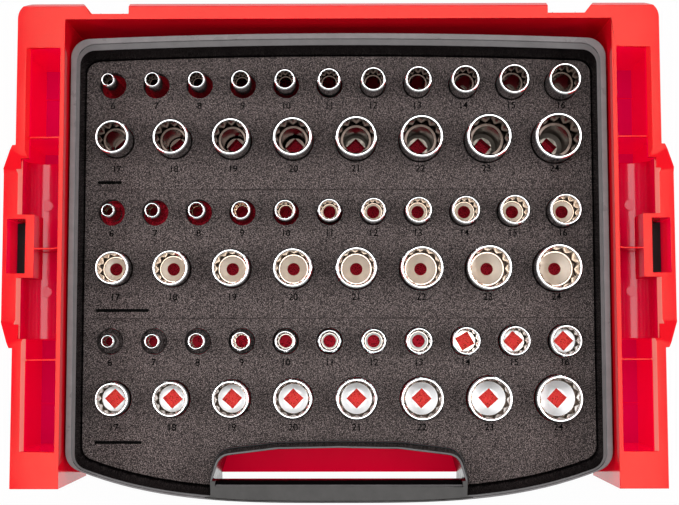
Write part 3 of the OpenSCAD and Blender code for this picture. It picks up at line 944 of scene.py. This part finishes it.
class Form:
    """The sizes of one socket, and its outline as rings of (radius, height)."""

    def __init__(self, series, size):
        look = socket_look()
        low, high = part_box(node_of(series, size))
        self.series = series
        self.x, self.y = socket_place(series, size)
        self.top, self.base = high.z, low.z
        self.nut, self.drive = nut_radius(size), drive_radius(size)
        self.flats = (size + 0.2) * MM
        self.points = point_radius(self.flats, 0)
        self.square = look.drive
        self.drive_top = self.base + look.drive_depth
        # The throat clears the corners of the drive; the bore never exceeds the size
        self.throat = 0.73 * look.drive
        bore = max(4.4, 0.84 * size) if series == DEEP else min(8.4, 0.93 * size + 0.9)
        self.bore = min(bore, size) / 2 * MM
        self.open_floor = series == SHALLOW and size >= LEAST_OPEN
        if self.open_floor:
            valley = point_radius(self.flats, 15)
            self.seat = self.drive_top + (valley - self.throat) * 0.3
            self.step = self.flats / 2
        else:
            # Deep enough for a nut, but at least 14.5 mm above the drive end
            depth = (8 if series == SHALLOW else 11) + 0.35 * size
            self.seat = self.top - min(SERIES[series][1] - 14.5, depth) * MM
            self.step = self.bore if series == DEEP else max(self.bore, 0.46 * size * MM)
        has_groove = self.open_floor or self.flats / 2 - self.step > 0.4 * MM
        self.groove = 1.8 * MM if has_groove else 0

    def hole(self):
        """From the mouth down through the 12 flutes to the end of the square drive."""
        mouth = self.points + 0.1 * MM

        def twelve(angle):
            return point_radius(self.flats, angle)

        def lip(angle):
            return max(mouth, twelve(angle))

        def flute_top(angle):
            return self.top - max(0.4 * MM, (mouth - twelve(angle)) * 0.889)

        def square(angle):
            return square_radius(self.square, angle)

        rings = [(lip, self.top), (twelve, flute_top), (twelve, self.seat - self.groove)]
        if self.groove:
            rings += [(self.flats / 2, self.seat - self.groove * 1.25)]
            rings += [(self.flats / 2, self.seat)]
        return rings + self.below_seat() + [
            (square, self.drive_top - 0.02 * MM), (square, self.base + 0.5 * MM),
            (lambda angle: square(angle) + 0.4 * MM, self.base),
        ]

    def below_seat(self):
        """From the seat to the square drive, which differs between the series."""
        bore, step, seat, end = self.bore, self.step, self.seat, self.drive_top
        if self.open_floor:
            return [(self.throat, end)]
        if self.series == DEEP:
            if bore > self.throat:
                return [(bore, seat), (bore, end + (bore - self.throat) * 0.6), (self.throat, end)]
            return [(bore, seat), (bore, end)]
        cone_top = seat - 0.4 * MM
        rings = [(bore, cone_top - (step - bore) * 0.35), (bore, end)]
        if step > bore + 0.2 * MM:
            return [(step, seat), (step - 0.1 * MM, cone_top)] + rings
        return rings

    def outside(self):
        """From the drive end up to the nut end, over the shoulder between the two."""
        neck = self.base + NECKS[self.series] * MM
        shoulder = abs(self.nut - self.drive) * 1.3 + 0.5 * MM
        return [
            (self.drive - RIM_EDGE, self.base), (self.drive, self.base + RIM_EDGE),
            (self.drive, neck), (self.nut, neck + shoulder),
            (self.nut, self.top - RIM_EDGE), (self.nut - RIM_EDGE, self.top),
        ]


def turned_socket(series, size, finishes):
    """One socket: down inside from its nut end to the drive, and back up outside."""
    form = Form(series, size)
    turning = Turning(
        "socket_%s_%02d_body" % (SERIES[series][0], size), form.x, form.y,
        socket_turn(series, size), form.top, form.nut - RIM_EDGE)
    for radius, z in form.hole() + form.outside():
        turning.ring(radius, z)
    socket = turning.close()
    rounded(socket, socket_look().edge_round)
    paint(socket, *finishes)
    inner, cone, groove, side = range(1, 5)

    def away(middle):
        return math.hypot(middle.x - form.x, middle.y - form.y)

    def in_hole(middle, normal):
        within = away(middle) < form.points + 0.1 * MM
        return within and form.base + 0.3 * MM < middle.z < form.top - 0.3 * MM

    def on_side(middle, normal):
        return away(middle) > 0.98 * min(form.nut, form.drive) and abs(normal.z) < 0.5

    def on_cone(middle, normal):
        within = away(middle) < form.step + 0.05 * MM
        return within and normal.z > 0.4 and middle.z < form.seat - 0.2 * MM

    def in_groove(middle, normal):
        bottom, level = form.seat - form.groove * 1.3, form.seat - 0.25 * MM
        outer, ledge = form.points + 0.1 * MM, form.flats / 2 - 0.05 * MM
        return bottom < middle.z < level and ledge < away(middle) < outer

    assign_where(socket, inner, in_hole)
    # the outer walls take the painted shade of darker chrome
    assign_where(socket, side, on_side)
    if series != DEEP or size >= LEAST_LIT_DEEP:
        assign_where(socket, cone, on_cone)
    # the groove takes the painted shade
    if form.groove:
        assign_where(socket, groove, in_groove)
    return socket


def plated(name, rough, *tints):
    """A finish for each series, from its own tint."""
    return [polished(name + "_" + SERIES[i][0], tint, rough) for i, tint in enumerate(tints)]


class SOCKETCASE_OT_sockets(bpy.types.Operator):
    """Turn the three series of chrome sockets, each size in its own place"""

    bl_idname = "socketcase.sockets"
    bl_label = "Sockets"

    def execute(self, context):
        look = socket_look()
        chrome = polished("polished_chrome", look.chrome, 0.09)
        # the sides: a darker copy of the chrome as painted shade
        sides = polished("chrome_sides", look.chrome_side, 0.12)
        # the grooves round the seats: painted shade, darkest in the deep series
        grooves = plated("groove", 0.40, look.relief, look.relief_pale, look.relief_pale)
        # per series the plating inside is a shaded or lit copy of one nickel: painted shade deep,
        # painted light shallow
        inside = plated("inside", 0.16, look.nickel_deep, look.nickel, look.nickel_shallow)
        # the deep sockets' cones take a darker copy as painted shade
        floors = plated("floor", 0.45, look.floor_deep, look.floor, look.chrome)
        for series in range(len(SERIES)):
            made = {}
            for size in SMALL_SIZES + LARGE_SIZES:
                socket = turned_socket(
                    series, size,
                    (chrome, inside[series], floors[series], grooves[series], sides))
                made.setdefault(node_of(series, size), []).append(socket)
            for node, group in made.items():
                piece = group[0]
                if len(group) > 1:
                    activate(piece)
                    for other in group[1:]:
                        other.select_set(True)
                    bpy.ops.object.join()
                give(piece, node, [node])
        return {"FINISHED"}


# ---------------------------------------------------------------- stage


def background_rays(tree, *others):
    """1 for a ray that shows the background: the camera's, and the other kinds named."""
    path = tree.nodes.new("ShaderNodeLightPath")
    last = path.outputs["Is Camera Ray"]
    for name in others:
        most = tree.nodes.new("ShaderNodeMath")
        most.operation = "MAXIMUM"
        tree.links.new(last, most.inputs[0])
        tree.links.new(path.outputs[name], most.inputs[1])
        last = most.outputs[0]
    return last


def white_floor(share):
    """Takes light and shadow, but looks mostly white to the rays of the background."""
    material = bpy.data.materials.new("white_floor")
    material.use_nodes = True
    tree = material.node_tree
    tree.nodes.clear()
    out = tree.nodes.new("ShaderNodeOutputMaterial")
    mix = tree.nodes.new("ShaderNodeMixShader")
    plain = tree.nodes.new("ShaderNodeBsdfDiffuse")
    white = tree.nodes.new("ShaderNodeEmission")
    part = tree.nodes.new("ShaderNodeMath")
    part.operation = "MULTIPLY"
    part.inputs[1].default_value = share
    plain.inputs["Color"].default_value = (0.88, 0.88, 0.88, 1)
    white.inputs["Color"].default_value = WHITE
    white.inputs["Strength"].default_value = 1.0
    rays = background_rays(tree, "Is Glossy Ray", "Is Transmission Ray")
    tree.links.new(rays, part.inputs[0])
    tree.links.new(part.outputs[0], mix.inputs["Fac"])
    tree.links.new(plain.outputs[0], mix.inputs[1])
    tree.links.new(white.outputs[0], mix.inputs[2])
    tree.links.new(mix.outputs[0], out.inputs["Surface"])
    return material


def studio_world(strength):
    """White for the camera; for light and reflections pale at the horizon, grey above."""
    world = bpy.data.worlds.new("studio")
    bpy.context.scene.world = world
    world.use_nodes = True
    tree = world.node_tree
    tree.nodes.clear()
    out = tree.nodes.new("ShaderNodeOutputWorld")
    mix = tree.nodes.new("ShaderNodeMixShader")
    room = tree.nodes.new("ShaderNodeBackground")
    white = tree.nodes.new("ShaderNodeBackground")
    white.inputs["Color"].default_value = WHITE
    room.inputs["Strength"].default_value = strength
    place = tree.nodes.new("ShaderNodeTexCoord")
    split = tree.nodes.new("ShaderNodeSeparateXYZ")
    ramp = tree.nodes.new("ShaderNodeValToRGB")
    ends = ramp.color_ramp.elements
    ends[0].position, ends[0].color = 0.02, (1.9, 1.9, 1.9, 1)
    ends[1].position, ends[1].color = 0.45, (0.75, 0.75, 0.76, 1)
    tree.links.new(place.outputs["Generated"], split.inputs[0])
    tree.links.new(split.outputs["Z"], ramp.inputs["Fac"])
    tree.links.new(ramp.outputs["Color"], room.inputs["Color"])
    tree.links.new(background_rays(tree, "Is Transmission Ray"), mix.inputs["Fac"])
    tree.links.new(room.outputs[0], mix.inputs[1])
    tree.links.new(white.outputs[0], mix.inputs[2])
    tree.links.new(mix.outputs[0], out.inputs["Surface"])


class SOCKETCASE_OT_stage(bpy.types.Operator):
    """Set the pale floor, the softbox, the room light and the camera above the case"""

    bl_idname = "socketcase.stage"
    bl_label = "Stage"

    def execute(self, context):
        look = stage_look()
        deselect_all()
        bpy.ops.mesh.primitive_plane_add(size=8, location=(0, 0, -0.2 * MM))
        floor = context.object
        floor.name = "floor"
        paint(floor, white_floor(look.floor_white))
        bpy.ops.object.light_add(type="AREA", location=SOFTBOX_PLACE)
        softbox = context.object
        softbox.name = "softbox"
        softbox.data.shape = "SQUARE"
        softbox.data.size = look.softbox_size
        softbox.data.energy = look.softbox
        softbox.visible_camera = False
        for name, side in (("left", -1), ("right", 1)):
            bpy.ops.object.light_add(
                type="AREA", location=(side * STRIP_OUT, 0, STRIP_HEIGHT),
                rotation=(0, side * math.radians(STRIP_TILT), 0))
            strip = context.object
            strip.name = "strip_" + name
            strip.data.shape = "RECTANGLE"
            strip.data.size, strip.data.size_y = STRIP_SIZE
            strip.data.energy = look.strips
            strip.visible_camera = False
        studio_world(look.sky)
        bpy.ops.object.camera_add(
            location=CAMERA_PLACE, rotation=[math.radians(a) for a in CAMERA_TURN])
        camera = context.object
        camera.name = "camera_above"
        camera.data.sensor_width = 36
        camera.data.lens = CAMERA_LENS
        camera.data.clip_start = 0.01
        camera.data.dof.use_dof = False
        context.scene.camera = camera
        context.scene.view_settings.view_transform = "Standard"
        return {"FINISHED"}


# ---------------------------------------------------------------- add-on


PIECES = (
    SOCKETCASE_OT_carrier, SOCKETCASE_OT_ejector_marks, SOCKETCASE_OT_latches,
    SOCKETCASE_OT_tray, SOCKETCASE_OT_foam, SOCKETCASE_OT_foam_marks,
    SOCKETCASE_OT_sockets, SOCKETCASE_OT_stage,
)
SETTINGS = (
    ("socket_case", CaseLook, "Case"), ("socket_foam", FoamLook, "Foam"),
    ("socket_set", SocketLook, "Sockets"), ("socket_stage", StageLook, "Stage"),
)


class VIEW3D_PT_socket_case(bpy.types.Panel):
    """The pieces of the socket set and their settings"""

    bl_label = "Socket Set in a Carrier"
    bl_idname = "VIEW3D_PT_socket_case"
    bl_space_type = "VIEW_3D"
    bl_region_type = "UI"
    bl_category = "Socket Set"

    def draw(self, context):
        column = self.layout.column(align=True)
        for piece in PIECES:
            column.operator(piece.bl_idname)
        for attribute, group, title in SETTINGS:
            box = self.layout.box()
            box.label(text=title)
            settings = getattr(context.scene, attribute)
            for name in group.__annotations__:
                box.prop(settings, name)


def register():
    for attribute, group, _ in SETTINGS:
        bpy.utils.register_class(group)
        setattr(bpy.types.Scene, attribute, PointerProperty(type=group))
    for cls in PIECES + (VIEW3D_PT_socket_case,):
        bpy.utils.register_class(cls)


def unregister():
    for cls in reversed(PIECES + (VIEW3D_PT_socket_case,)):
        bpy.utils.unregister_class(cls)
    for attribute, group, _ in reversed(SETTINGS):
        delattr(bpy.types.Scene, attribute)
        bpy.utils.unregister_class(group)


def main():
    register()
    bpy.ops.socketcase.carrier()
    bpy.ops.socketcase.ejector_marks()
    bpy.ops.socketcase.latches()
    bpy.ops.socketcase.tray()
    bpy.ops.socketcase.foam()
    bpy.ops.socketcase.foam_marks()
    bpy.ops.socketcase.sockets()
    bpy.ops.socketcase.stage()


if __name__ == "__main__":
    main()
